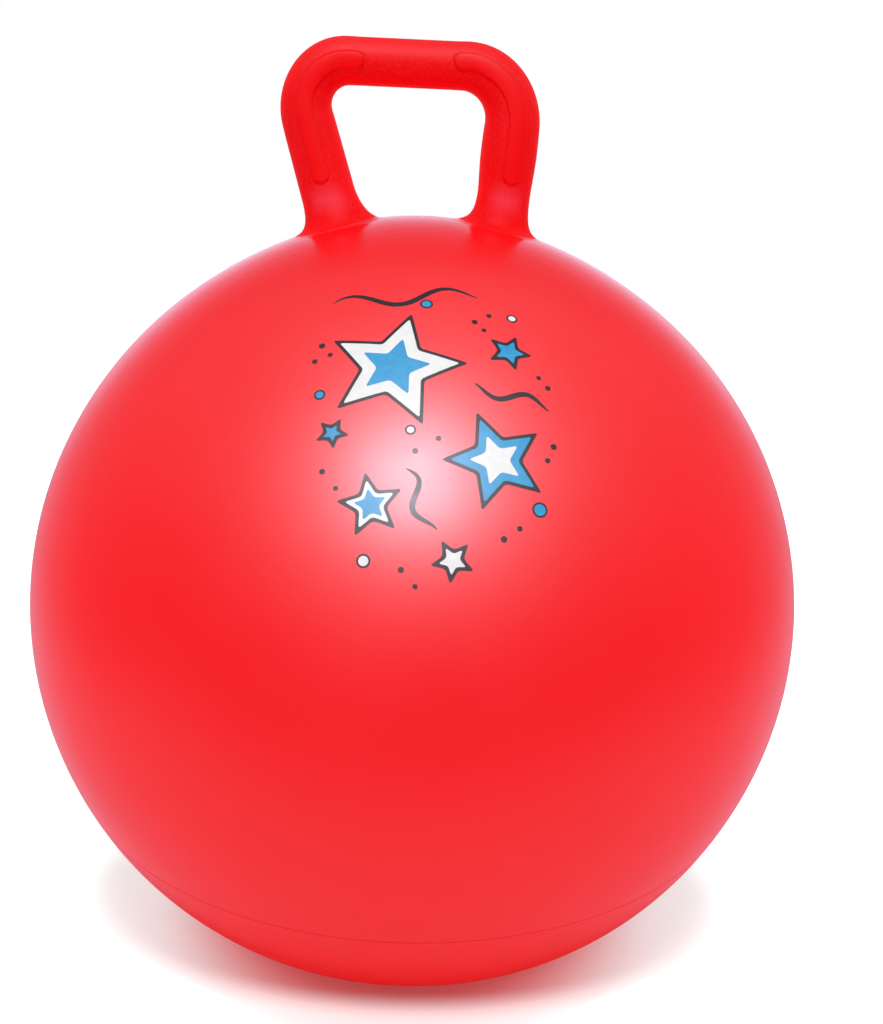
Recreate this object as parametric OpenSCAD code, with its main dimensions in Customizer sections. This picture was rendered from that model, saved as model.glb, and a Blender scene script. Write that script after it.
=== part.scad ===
// Hopper ball: an inflated vinyl ball with a hollow loop handle and a plugged air valve.
// The ball's axis is vertical, the loop lies in the XZ plane and the printed front faces -Y.
// The origin is the middle of the flat patch that the ball stands on.

/* [Ball] */
// Diameter of the inflated ball
ball_d = 450; // [380:5:650]
// Thickness of the vinyl skin
skin_t = 1.2; // [0.8:0.1:2]
// Diameter of the patch that the ball's weight presses flat on the floor
flat_d = 116; // [60:2:160]
// Latitude of the mould's parting line, in degrees below the equator
parting_lat = 23; // [10:1:40]
// Width of the fine groove along the parting line, twice its depth
parting_w = 0.8; // [0.4:0.1:1.2]

/* [Handle loop] */
// Outside diameter of the handle's tube
tube_d = 27; // [22:0.5:36]
// Wall of the handle's tube
tube_t = 2; // [1.4:0.1:3]
// Height of the bar's centre line above the ball, on the ball's axis
bar_rise = 76.5; // [65:0.5:110]
// Fall of the bar towards the right leg, in degrees
bar_fall = 2; // [-5:0.5:5]
// Centre-line radius of the two upper corners
corner_r = 22; // [20:0.5:32]
// Outward lean of the left leg, in degrees
left_lean = 15.5; // [4:0.5:20]
// Outward lean of the right leg, in degrees
right_lean = 4.5; // [2:0.5:20]

/* [Handle feet] */
// Distance of the left foot's centre from the ball's axis
left_foot_x = 46; // [38:0.5:60]
// Distance of the right foot's centre from the ball's axis
right_foot_x = 40; // [38:0.5:60]
// Radius of the hollow flare that leads each leg into the ball
flare_r = 15; // [8:0.5:20]
// Length of the straight neck above each flare
neck_len = 2; // [1:0.5:6]
// Centre-line radius of the slight bend between each neck and its leg
ankle_r = 60; // [30:5:90]

/* [Grip pads] */
// Width of the raised pad round each corner, on the front and on the back
pad_w = 8.5; // [5:0.5:12]
// Height of a pad above the tube
pad_h = 0.9; // [0.4:0.1:1.5]
// Length of a pad along the bar, past the corner's bend
pad_bar_len = 8; // [7:0.5:14]
// Bare leg left between the end of a pad and the ankle's bend
pad_leg_gap = 3; // [2:0.5:12]

/* [Valve sleeve] */
// Height of the valve on the back of the ball, in degrees above the equator
valve_lat = 29; // [10:1:45]
// Diameter of the hole in the skin
valve_hole_d = 16; // [14:0.5:22]
// Height of the sleeve's outer face above the ball
sleeve_proud = 0.3; // [0.2:0.1:1]
// Length of the sleeve from its outer face to its inner end
sleeve_len = 24; // [16:1:30]
// Outside diameter of the sleeve's inner tube
sleeve_d = 10.5; // [9.5:0.5:13]
// Diameter of the flange that is bonded inside the skin
flange_d = 30; // [24:1:40]
// Thickness of the flange at its rim
flange_t = 1.6; // [1:0.1:3]
// Bond line between the sleeve and the skin
bond_gap = 0.05; // [0.02:0.01:0.1]

/* [Valve plug] */
// Length of the plug from the top of its head to its tip
plug_len = 38; // [30:1:45]
// Diameter of the plug's head
head_d = 12.6; // [10:0.2:12.8]
// Thickness of the head, whose edge is fully round
head_t = 2.2; // [1.6:0.1:3]
// Depth of the sleeve's recess for the head
recess_depth = 1.4; // [0.8:0.1:2]
// Gap round the head, wide enough for a fingernail
head_gap = 0.4; // [0.3:0.05:0.5]
// Diameter of the thick collar under the head
collar_d = 6.9; // [6:0.1:7.5]
// Length of the collar
collar_len = 5.5; // [3:0.5:8]
// Diameter of the stem
stem_d = 4.4; // [3:0.1:5.4]
// Diameter of the stem's tip
tip_d = 3.2; // [2:0.1:3.6]
// Length of the taper towards the tip
taper_len = 14; // [6:1:18]
// Radial clearance of the plug in the sleeve
plug_fit = 0.05; // [0.02:0.01:0.1]
// Clearance under the head and under the collar
seat_gap = 0.05; // [0.02:0.01:0.1]

/* [Hidden] */
$fn = 180;

// Straight stretches of a sweep run this far into its bends, and are this much slimmer all round
lap_len = 0.3;
lap_step = 0.08;

vinyl_red = "#f01822";
handle_red = "#e8101c";
plug_white = "#f4f4f2";

ball_r = ball_d / 2;
inner_r = ball_r - skin_t;
tube_r = tube_d / 2;
bore_r = tube_r - tube_t;
// The ball's centre stands this high above the floor
centre_z = sqrt(pow(ball_r, 2) - pow(flat_d / 2, 2));

// The flare's arc touches the ball and the tube, and the inner flare's the skin's inner face and the bore
neck_z = sqrt(pow(ball_r + flare_r, 2) - pow(tube_r + flare_r, 2));
inner_flare_r = (pow(neck_z, 2) - pow(inner_r, 2) + pow(bore_r, 2)) / (2 * (inner_r - bore_r));
flare_centre = [tube_r + flare_r, neck_z];
inner_flare_centre = [bore_r + inner_flare_r, neck_z];
inner_flare_edge = inner_flare_centre * inner_r / (inner_r + inner_flare_r);
inner_skin_edge = flare_centre * inner_r / (ball_r + flare_r);

// Points and headings of the loop, seen from the front and measured from the ball's centre
left_foot_angle = asin(left_foot_x / ball_r);
right_foot_angle = asin(right_foot_x / ball_r);
left_out = 90 + left_foot_angle;
right_out = 90 - right_foot_angle;
left_up = 90 + left_lean;
right_up = 90 - right_lean;
left_ankle = (neck_z + neck_len + bend_reach(ankle_r, left_up - left_out)) * heading(left_out);
right_ankle = (neck_z + neck_len + bend_reach(ankle_r, right_up - right_out)) * heading(right_out);
bar_point = [0, ball_r + bar_rise];
left_corner = meet(left_ankle, left_up, bar_point, -bar_fall);
right_corner = meet(right_ankle, right_up, bar_point, -bar_fall);
loop = [
    neck_z * heading(left_out),
    left_ankle,
    left_corner,
    right_corner,
    right_ankle,
    neck_z * heading(right_out)
];
loop_bends = [0, ankle_r, corner_r, corner_r, ankle_r, 0];

// Heights on the valve's own axis, measured from the ball's centre
face_z = ball_r + sleeve_proud;
seat_z = face_z - recess_depth;
head_z = seat_z + seat_gap;
collar_z = head_z - collar_len;
tip_z = head_z + head_t - plug_len;
bonded_r = inner_r - bond_gap;
flange_z = sqrt(pow(bonded_r, 2) - pow(flange_d / 2, 2)) - flange_t;

function heading(angle) = [cos(angle), sin(angle)];

function angle_of(step) = atan2(step.y, step.x);

// Length of straight path that a bend of this radius takes up on each side of its corner
function bend_reach(radius, turn) = radius * tan(abs(turn) / 2);

// Signed turn between two headings, within half a circle
function turn_between(from, to) =
    let (turn = to - from)
    turn > 180 ? turn - 360 : turn < -180 ? turn + 360 : turn;

// Where the line through p meets the line through q, each given with its heading
function meet(p, p_angle, q, q_angle) =
    let (gap = q - p, side = heading(q_angle), along = heading(p_angle))
    p + along * cross(gap, side) / cross(along, side);

// Point on the way from one point towards another
function towards(from, to, distance) = from + distance * (to - from) / norm(to - from);

// Turn of the path at its point i, and the straight length that the bend there takes up
function path_turn(path, i) =
    turn_between(angle_of(path[i] - path[i - 1]), angle_of(path[i + 1] - path[i]));
function path_reach(path, bends, i) =
    bends[i] == 0 ? 0 : bend_reach(bends[i], path_turn(path, i));

// Sweeps a symmetric 2D outline, slimmer by $slim all round, along a flat path of straights and bends
module sweep(path, bends) {
    for (i = [0 : len(path) - 2]) {
        $slim = lap_step;
        start = towards(path[i], path[i + 1], path_reach(path, bends, i) - lap_len);
        end = towards(path[i + 1], path[i], path_reach(path, bends, i + 1) - lap_len);
        along(start, angle_of(end - start))
            linear_extrude(norm(end - start))
                children();
    }
    for (i = [1 : len(path) - 2]) {
        $slim = 0;
        bend(path[i], angle_of(path[i] - path[i - 1]), path_turn(path, i), bends[i])
            children();
    }
}

// Turns +Z to run along a heading of the path's plane
module along(start, angle) {
    translate(start)
        rotate([0, 0, angle])
            rotate([90, 0, 90])
                children();
}

// Sweeps a 2D outline round one corner of a flat path
module bend(corner, angle, turn, radius) {
    side = sign(turn);
    start = corner - bend_reach(radius, turn) * heading(angle);
    middle = start + side * radius * heading(angle + 90);
    translate(middle)
        rotate([0, 0, side > 0 ? angle - 90 : angle + 90 + turn])
            rotate_extrude(angle = abs(turn))
                translate([radius, 0])
                    children();
}

// Stands the flat path of the loop upright on the ball's axis
module upright() {
    translate([0, 0, centre_z])
        rotate([90, 0, 0])
            children();
}

// Places a body of revolution on a radius of the ball that leans from the vertical towards +X
module on_foot(angle) {
    translate([0, 0, centre_z])
        rotate([0, angle, 0])
            children();
}

// Places a body of revolution on the valve's axis, at the back of the ball
module on_valve() {
    translate([0, 0, centre_z])
        rotate([valve_lat - 90, 0, 0])
            children();
}

// Half outline of a ball that is cut flat below
module ball_half(radius, floor_z) {
    intersection() {
        circle(radius);
        translate([0, floor_z])
            square([radius, radius - floor_z]);
    }
}

// Cone from the ball's centre through the edge of a foot's flare, which parts the foot from the skin
module foot_cone() {
    rotate_extrude()
        polygon([[0, 0], flare_centre, [0, neck_z]]);
}

// Hollow flare with its neck, closed below by the cone that parts it from the skin
module foot() {
    rotate_extrude()
        difference() {
            polygon([[0, 0], flare_centre, [tube_r, neck_z], [0, neck_z]]);
            translate(flare_centre)
                circle(flare_r);
            difference() {
                polygon([
                    [0, 0],
                    2 * inner_skin_edge - inner_flare_edge,
                    inner_flare_edge,
                    inner_flare_centre,
                    [bore_r, neck_z],
                    [bore_r, ball_r + bar_rise],
                    [0, ball_r + bar_rise]
                ]);
                translate(inner_flare_centre)
                    circle(inner_flare_r);
            }
        }
}

// Outline of the band whose two edges stand out of the tube as the front and back pads
module pad_outline() {
    intersection() {
        circle(tube_r + pad_h - $slim);
        square([pad_w - 2 * $slim, 2 * tube_d], center = true);
    }
}

// Rounded end of a pad, pointing along a straight stretch of tube
module pad_end(point, angle) {
    intersection() {
        translate(point)
            cylinder(d = pad_w, h = 2 * tube_d, center = true);
        along(point - lap_len * heading(angle), angle)
            linear_extrude(pad_w)
                circle(tube_r + pad_h);
    }
}

// Pair of pads round one corner of the loop
module corner_pads(ankle, corner, other_corner) {
    ankle_turn = turn_between(angle_of(ankle), angle_of(corner - ankle));
    corner_turn = path_turn([ankle, corner, other_corner], 1);
    leg_end = towards(ankle, corner, bend_reach(ankle_r, ankle_turn) + pad_leg_gap + pad_w / 2);
    bar_end = towards(corner, other_corner, bend_reach(corner_r, corner_turn) + pad_bar_len - pad_w / 2);
    sweep([leg_end, corner, bar_end], [0, corner_r, 0])
        pad_outline();
    pad_end(leg_end, angle_of(ankle - corner));
    pad_end(bar_end, angle_of(other_corner - corner));
}

// Skin of the ball with its flat patch, parting line, valve hole and the two openings for the handle
module ball_skin() {
    parting_angle = -parting_lat;
    color(vinyl_red)
        difference() {
            translate([0, 0, centre_z])
                rotate_extrude()
                    difference() {
                        ball_half(ball_r, -centre_z);
                        ball_half(inner_r, skin_t - centre_z);
                        translate(ball_r * heading(parting_angle))
                            circle(d = parting_w);
                    }
            on_foot(-left_foot_angle)
                foot_cone();
            on_foot(right_foot_angle)
                foot_cone();
            on_valve()
                translate([0, 0, ball_r - flange_d])
                    cylinder(d = valve_hole_d, h = 2 * flange_d);
        }
}

// Hollow loop with its grip pads and two flared feet
module handle() {
    color(handle_red)
        union() {
            upright()
                difference() {
                    union() {
                        sweep(loop, loop_bends)
                            circle(tube_r - $slim);
                        corner_pads(left_ankle, left_corner, right_corner);
                        corner_pads(right_ankle, right_corner, left_corner);
                    }
                    sweep(loop, loop_bends)
                        circle(bore_r - $slim);
                }
            on_foot(-left_foot_angle)
                foot();
            on_foot(right_foot_angle)
                foot();
        }
}

// Bonded sleeve with the seat, counterbore and bore for the plug
module valve_sleeve() {
    collar_bore_r = collar_d / 2 + plug_fit;
    color(vinyl_red)
        on_valve()
            rotate_extrude()
                difference() {
                    union() {
                        intersection() {
                            circle(bonded_r);
                            union() {
                                translate([0, flange_z])
                                    square([flange_d / 2, flange_d]);
                                translate([0, face_z - sleeve_len])
                                    square([sleeve_d / 2, sleeve_len]);
                            }
                        }
                        translate([0, flange_z])
                            square([valve_hole_d / 2 - bond_gap, face_z - flange_z]);
                    }
                    translate([0, seat_z])
                        square([head_d / 2 + head_gap, face_z]);
                    translate([0, collar_z - seat_gap])
                        square([collar_bore_r, face_z]);
                    square([stem_d / 2 + plug_fit, 2 * face_z]);
                }
}

// Plug with a round-edged head, a thick collar and a tapered stem
module valve_plug() {
    color(plug_white)
        on_valve()
            rotate_extrude()
                union() {
                    polygon([
                        [0, tip_z],
                        [tip_d / 2, tip_z],
                        [stem_d / 2, tip_z + taper_len],
                        [stem_d / 2, collar_z],
                        [collar_d / 2, collar_z],
                        [collar_d / 2, head_z],
                        [head_d / 2 - head_t / 2, head_z],
                        [head_d / 2 - head_t / 2, head_z + head_t],
                        [0, head_z + head_t]
                    ]);
                    translate([head_d / 2 - head_t / 2, head_z + head_t / 2])
                        circle(d = head_t);
                }
}

ball_skin();
handle();
valve_sleeve();
valve_plug();
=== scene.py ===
import math

import bpy
import numpy as np
from mathutils import Matrix
from mathutils.geometry import delaunay_2d_cdt


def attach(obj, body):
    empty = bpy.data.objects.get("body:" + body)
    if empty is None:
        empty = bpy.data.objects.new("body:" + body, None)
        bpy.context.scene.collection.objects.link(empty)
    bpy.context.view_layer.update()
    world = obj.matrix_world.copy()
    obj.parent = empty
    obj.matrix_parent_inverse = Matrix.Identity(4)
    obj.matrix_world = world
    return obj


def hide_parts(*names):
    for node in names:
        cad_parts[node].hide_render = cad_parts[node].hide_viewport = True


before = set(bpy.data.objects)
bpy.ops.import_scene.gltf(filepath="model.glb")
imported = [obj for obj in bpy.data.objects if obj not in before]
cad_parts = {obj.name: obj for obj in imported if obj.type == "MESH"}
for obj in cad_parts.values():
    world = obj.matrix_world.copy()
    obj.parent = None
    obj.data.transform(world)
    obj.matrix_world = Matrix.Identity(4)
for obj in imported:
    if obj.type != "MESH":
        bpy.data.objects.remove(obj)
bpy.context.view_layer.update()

MM = 0.001
DEG = math.pi / 180

# The ball and its handle, in metres. The loop's soft tube strays a few millimetres from the plain solid
BALL_R = 225 * MM
SKIN_T = 1.2 * MM
FLAT_R = 58 * MM
TUBE_R = 13.5 * MM
TUBE_T = 2 * MM
FLARE_R = 15 * MM
NECK_LEN = 2 * MM
ANKLE_R = 60 * MM
LEFT_CORNER_R = 22 * MM
RIGHT_CORNER_R = 26.5 * MM
BAR_RISE = 77 * MM
BAR_FALL = 1.0 * DEG
LEFT_LEAN = 16 * DEG
RIGHT_LEAN = 4 * DEG
LEFT_FOOT = math.asin(47.2 * MM / BALL_R)
RIGHT_FOOT = math.asin(39.8 * MM / BALL_R)
PAD_W = 8.5 * MM
PAD_H = 0.9 * MM
LEFT_PAD_BAR_LEN, RIGHT_PAD_BAR_LEN = 8.2 * MM, 5.8 * MM
LEFT_PAD_LEG_GAP, RIGHT_PAD_LEG_GAP = 5.5 * MM, 3 * MM
PARTING_LAT = -23.3 * DEG
VALVE_LAT = 29 * DEG
VALVE_HOLE_R = 8 * MM
CENTRE = np.array([0, 0, math.sqrt(BALL_R ** 2 - FLAT_R ** 2)])
NECK_Z = math.sqrt((BALL_R + FLARE_R) ** 2 - (TUBE_R + FLARE_R) ** 2)
FOOT_EDGE = math.asin((TUBE_R + FLARE_R) / (BALL_R + FLARE_R))

# Soft forms of the inflated vinyl that the plain solids leave out
CROWN_H = 3.2 * MM
CROWN_WIDTH = 20 * DEG
FLOOR_BLEND = 3 * MM
GROOVE_DEPTH = 0.4 * MM
GROOVE_WIDTH = 0.38 * MM
SWELL = 0.35 * MM
# Two slow waves of the swell, each a product of two: waves along X, Y and Z, and the phase of each factor
LONG_WAVE = ((3.1, 0, 1.7), 0.6, (0, 2.3, -1.1), 0.0)
SHORT_WAVE = ((3.7, 5.3, 0), -0.8, (0, 0, 4.1), 0.4)
SHORT_WAVE_SHARE = 0.5
# How much of these forms the skin's inner side follows
INNER_SHARE = 0.9

# Fineness of the meshes
BALL_SEGMENTS = 240
INNER_SEGMENTS = 80
CAP_ANGLE = 24 * DEG
HANDLE_SEGMENTS = 160
RING_STEP = 0.6 * MM
FLARE_RINGS = 36
INNER_STRIDE = 6
# Step to each side for the skin's normals, and how steep a direction is when X serves as its side, not Z
NORMAL_STEP = 1e-4
NEAR_POLE = 0.9
# Lengths and angles below this count as none
TINY = 1e-9


def unit(v):
    return v / np.linalg.norm(v, axis=-1, keepdims=True)


def smoothstep(x, low, high):
    t = np.clip((x - low) / (high - low), 0, 1)
    return t * t * (3 - 2 * t)


def wave(d, first, first_phase, second, second_phase):
    return np.sin(d @ np.array(first) + first_phase) * np.cos(d @ np.array(second) + second_phase)


def lift(d):
    """How far the skin stands off the plain ball in the directions d: crown, swell and parting groove."""
    polar = np.arccos(np.clip(d[:, 2], -1, 1))
    crown = CROWN_H * np.exp(-(polar / CROWN_WIDTH) ** 2)
    swell = SWELL * (wave(d, *LONG_WAVE) + SHORT_WAVE_SHARE * wave(d, *SHORT_WAVE))
    off_line = (np.arcsin(np.clip(d[:, 2], -1, 1)) - PARTING_LAT) * BALL_R
    groove = GROOVE_DEPTH * np.exp(-(off_line / GROOVE_WIDTH) ** 2)
    return crown + swell - groove


def skin(d, depth=0.0):
    """Points of the skin in the unit directions d from the ball's centre, pressed flat on the floor."""
    share = 1 if depth == 0 else INNER_SHARE
    p = CENTRE + d * (BALL_R - depth + lift(d) * share)[:, None]
    z = p[:, 2] - depth
    near = np.clip(FLOOR_BLEND - np.abs(z), 0, None)
    p[:, 2] = np.maximum(z, 0) + near ** 2 / (4 * FLOOR_BLEND) + depth
    return p


def skin_normal(d):
    """Normals of the skin in the directions d, by small steps to both sides."""
    side = np.where(np.abs(d[:, 2:3]) < NEAR_POLE, [[0, 0, 1.0]], [[1.0, 0, 0]])
    u = unit(np.cross(d, side))
    v = np.cross(d, u)
    du = skin(unit(d + NORMAL_STEP * u)) - skin(unit(d - NORMAL_STEP * u))
    dv = skin(unit(d + NORMAL_STEP * v)) - skin(unit(d - NORMAL_STEP * v))
    n = unit(np.cross(du, dv))
    return n * np.sign(np.sum(n * d, 1, keepdims=True))


def direction(lat, lon):
    """Unit vectors from latitude and longitude, where longitude 0 is the front, -Y, and +X follows it."""
    lat, lon = np.broadcast_arrays(np.asarray(lat, float), np.asarray(lon, float))
    return np.stack([np.cos(lat) * np.sin(lon), -np.cos(lat) * np.cos(lon), np.sin(lat)], -1)


def link_object(name, data):
    """Puts a mesh, lamp or camera in the scene."""
    thing = bpy.data.objects.new(name, data)
    bpy.context.scene.collection.objects.link(thing)
    return thing


class MeshBuilder:
    """Collects points and faces of one closed mesh."""

    def __init__(self):
        self.points = []
        self.normals = []
        self.faces = []
        self.count = 0

    def add(self, points, normals):
        """Adds points with their normals and returns their numbers."""
        start = self.count
        self.points.append(points)
        self.normals.append(normals)
        self.count += len(points)
        return np.arange(start, self.count)

    def quads(self, a, b, flip=False):
        """Joins two equal closed rings of points by quads."""
        n = len(a)
        for i in range(n):
            j = (i + 1) % n
            quad = [a[i], a[j], b[j], b[i]]
            self.faces.append(quad[::-1] if flip else quad)

    def fan(self, ring, tip, flip=False):
        """Joins a closed ring of points to a tip by triangles."""
        for i in range(len(ring)):
            tri = [ring[i], ring[(i + 1) % len(ring)], tip]
            self.faces.append(tri[::-1] if flip else tri)

    def build(self, name):
        """Makes the object, without the points that no face uses."""
        used = np.zeros(self.count, bool)
        used[np.concatenate([np.asarray(face, int) for face in self.faces])] = True
        place = np.cumsum(used) - 1
        faces = [[int(place[i]) for i in face] for face in self.faces]
        mesh = bpy.data.meshes.new(name)
        mesh.from_pydata(np.concatenate(self.points)[used].tolist(), [], faces)
        mesh.update()
        mesh.polygons.foreach_set("use_smooth", np.ones(len(mesh.polygons), bool))
        mesh.normals_split_custom_set_from_vertices(np.concatenate(self.normals)[used].tolist())
        return link_object(name, mesh)


def triangulate(flat, loops, keep):
    """Triangles over 2D points whose closed loops are kept as edges; keep tests the triangles' centres."""
    edges = [(int(a), int(b)) for loop in loops for a, b in zip(loop, np.roll(loop, -1))]
    spots = [tuple(p) for p in flat]
    out, _, faces, origin, _, _ = delaunay_2d_cdt(spots, edges, [], 0, TINY)
    if len(out) != len(flat):
        raise ValueError("the triangulation added or merged points")
    back = [o[0] for o in origin]
    tris = np.array([[back[i] for i in face] for face in faces])
    tris = tris[keep(flat[tris].mean(1))]
    a, b, c = flat[tris[:, 0]], flat[tris[:, 1]], flat[tris[:, 2]]
    turn = (b[:, 0] - a[:, 0]) * (c[:, 1] - a[:, 1]) - (b[:, 1] - a[:, 1]) * (c[:, 0] - a[:, 0])
    tris[turn < 0] = tris[turn < 0][:, ::-1]
    return tris


def inside(points, loop):
    """Which 2D points lie inside a closed loop of 2D points."""
    x, y = points[:, 0], points[:, 1]
    result = np.zeros(len(points), bool)
    for (x0, y0), (x1, y1) in zip(loop, np.roll(loop, -1, 0)):
        crosses = (y0 > y) != (y1 > y)
        with np.errstate(divide="ignore", invalid="ignore"):
            at = x0 + (y - y0) * (x1 - x0) / (y1 - y0)
        result ^= crosses & (x < at)
    return result


# The loop's centre line, from the left foot over the bar to the right foot, in the XZ plane

def heading(angle):
    return np.array([math.cos(angle), 0, math.sin(angle)])


def crossing(p, p_angle, q, q_angle):
    """Where two lines of the XZ plane meet, each given by a point and a heading."""
    a, b = heading(p_angle), heading(q_angle)
    gap = q - p
    return p + a * (gap[0] * b[2] - gap[2] * b[0]) / (a[0] * b[2] - a[2] * b[0])


LEFT_OUT, RIGHT_OUT = math.pi / 2 + LEFT_FOOT, math.pi / 2 - RIGHT_FOOT
LEFT_UP, RIGHT_UP = math.pi / 2 + LEFT_LEAN, math.pi / 2 - RIGHT_LEAN


def ankle(out, up):
    """Where a foot's own axis meets the leg's line."""
    return CENTRE + heading(out) * (NECK_Z + NECK_LEN + ANKLE_R * math.tan(abs(up - out) / 2))


BAR_MIDDLE = CENTRE + np.array([0, 0, BALL_R + BAR_RISE])
LEFT_ANKLE, RIGHT_ANKLE = ankle(LEFT_OUT, LEFT_UP), ankle(RIGHT_OUT, RIGHT_UP)
LEFT_CORNER = crossing(LEFT_ANKLE, LEFT_UP, BAR_MIDDLE, -BAR_FALL)
RIGHT_CORNER = crossing(RIGHT_ANKLE, RIGHT_UP, BAR_MIDDLE, -BAR_FALL)
LOOP = [
    CENTRE + NECK_Z * heading(LEFT_OUT), LEFT_ANKLE, LEFT_CORNER,
    RIGHT_CORNER, RIGHT_ANKLE, CENTRE + NECK_Z * heading(RIGHT_OUT),
]
LOOP_BENDS = [0, ANKLE_R, LEFT_CORNER_R, RIGHT_CORNER_R, ANKLE_R, 0]


def centre_line():
    """Points, unit tangents and distances along the loop, and where each bend starts and ends."""
    points, tangents, marks = [], [], []
    length, at = 0.0, LOOP[0]
    for i in range(1, len(LOOP)):
        way = unit(LOOP[i] - LOOP[i - 1])
        turn, reach = 0.0, 0.0
        if i < len(LOOP) - 1:
            after = unit(LOOP[i + 1] - LOOP[i])
            turn = math.atan2(way[0] * after[2] - way[2] * after[0], float(way @ after))
            reach = LOOP_BENDS[i] * math.tan(abs(turn) / 2)
        end = LOOP[i] - reach * way
        straight = np.linalg.norm(end - at)
        steps = max(1, round(straight / RING_STEP))
        for k in range(steps):
            points.append(at + (end - at) * k / steps)
            tangents.append(way)
        length += straight
        at = end
        if reach:
            radius = LOOP_BENDS[i]
            arc = radius * abs(turn)
            side = np.array([-way[2], 0, way[0]]) * math.copysign(1, turn)
            middle = at + radius * side
            steps = max(2, round(arc / RING_STEP))
            for k in range(steps):
                a = abs(turn) * k / steps
                points.append(middle - radius * side * math.cos(a) + radius * way * math.sin(a))
                tangents.append(way * math.cos(a) + side * math.sin(a))
            marks.append((length, length + arc))
            length += arc
            at = middle - radius * side * math.cos(abs(turn)) + radius * way * math.sin(abs(turn))
    points.append(LOOP[-1])
    tangents.append(unit(LOOP[-1] - LOOP[-2]))
    points, tangents = np.array(points), np.array(tangents)
    along = np.concatenate([[0], np.cumsum(np.linalg.norm(np.diff(points, axis=0), axis=1))])
    return points, tangents, along, marks


LINE, LINE_WAY, LINE_AT, BEND_MARKS = centre_line()
FRONT = np.array([0, -1.0, 0])
LEFT_PAD_TURN, RIGHT_PAD_TURN = -1 * DEG, 8 * DEG
LEFT_PAD_MIDDLES = (90 * DEG - LEFT_PAD_TURN, 270 * DEG + LEFT_PAD_TURN)
RIGHT_PAD_MIDDLES = (90 * DEG - RIGHT_PAD_TURN, 270 * DEG + RIGHT_PAD_TURN)
PAD_HALF_ANGLE = PAD_W / 2 / TUBE_R
# Points round the tube crowd together along the pads' edges
FINE_ANGLES = 7201
EDGE_DENSITY = 2.4
EDGE_SPREAD = 3.5 * DEG


def ring_angles():
    """Angles round the tube, closer together along the pads' edges."""
    fine = np.linspace(0, 2 * math.pi, FINE_ANGLES)
    density = np.ones_like(fine)
    for middle in LEFT_PAD_MIDDLES + RIGHT_PAD_MIDDLES:
        for edge in (-1, 1):
            off = fine - middle - edge * PAD_HALF_ANGLE
            density += EDGE_DENSITY * np.exp(-(off / EDGE_SPREAD) ** 2)
    share = np.concatenate([[0], np.cumsum((density[1:] + density[:-1]) / 2)])
    return np.interp(np.arange(HANDLE_SEGMENTS) / HANDLE_SEGMENTS, share / share[-1], fine)


PHI = ring_angles()


def ring_axes(way):
    """The loop's outward side and its front, across the tangent."""
    return np.array([-way[2], 0, way[0]]), FRONT


def foot_edge(out, way):
    """Directions from the ball's centre to the edge of a foot's flare, at the angles PHI round the tube."""
    n, b = ring_axes(way)
    round_foot = np.cos(PHI)[:, None] * n + np.sin(PHI)[:, None] * b
    return math.cos(FOOT_EDGE) * heading(out) + math.sin(FOOT_EDGE) * round_foot


LEFT_EDGE = foot_edge(LEFT_OUT, LINE_WAY[0])
RIGHT_EDGE = foot_edge(RIGHT_OUT, LINE_WAY[-1])


# Ball

# Share of a ring's step that the cap's points keep clear of the feet
FOOT_CLEAR = 0.6
# Rings to each side of the parting groove's middle
GROOVE_RINGS = 9
GROOVE_STEP = 0.16 * MM
# The side's rings end above the floor; fine rings round the contact follow, and coarse ones under the ball
SIDE_LOW = -66 * DEG
CONTACT_TOP, CONTACT_LOW, CONTACT_STEP = -66.4 * DEG, -80 * DEG, 0.4 * DEG
UNDER_LOW, UNDER_STEP = -89.5 * DEG, 2 * DEG
# Half angle of the patch round the valve, and the least number of steps that it takes in
VALVE_PATCH = 6 * DEG
VALVE_PATCH_STEPS = 2.6
VALVE_RIM_POINTS = 96
# Rings round the valve hole: size as a share of the hole's, and stride along the rim's points
VALVE_RINGS = ((1, 1), (1.12, 1), (1.35, 2), (1.75, 2))


def cap_plane(d):
    """Flat map of directions near the ball's top: distance is the angle from the top."""
    polar = np.arccos(np.clip(d[:, 2], -1, 1))
    across = np.hypot(d[:, 0], d[:, 1])
    scale = np.where(across > TINY, polar / np.maximum(across, TINY), 1.0)
    return d[:, :2] * scale[:, None]


def cap_directions(segments):
    """Directions inside the top cap, in rings, clear of the two feet."""
    step = 2 * math.pi * math.sin(CAP_ANGLE) / segments
    rings = [np.array([[0, 0, 1.0]])]
    for k in range(1, int(CAP_ANGLE / step)):
        polar = k * step
        n = max(6, round(2 * math.pi * math.sin(polar) / step))
        lon = 2 * math.pi * (np.arange(n) + 0.5 * (k % 2)) / n
        rings.append(direction(math.pi / 2 - polar, lon))
    d = np.concatenate(rings)
    for out in (LEFT_OUT, RIGHT_OUT):
        d = d[np.arccos(np.clip(d @ heading(out), -1, 1)) > FOOT_EDGE + FOOT_CLEAR * step]
    return d


def latitudes(step):
    """Latitudes of the ball's rings below the cap, closer at the parting groove and at the floor."""
    side = np.arange(math.pi / 2 - CAP_ANGLE, SIDE_LOW, -step)
    side = side[np.abs(side - PARTING_LAT) > 0.5 * step]
    groove = PARTING_LAT + np.arange(-GROOVE_RINGS, GROOVE_RINGS + 1) * GROOVE_STEP / BALL_R
    contact = np.arange(CONTACT_TOP, CONTACT_LOW, -CONTACT_STEP)
    under = np.arange(CONTACT_LOW, UNDER_LOW, -UNDER_STEP)
    return np.sort(np.concatenate([side, groove, contact, under]))[::-1]


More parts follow.
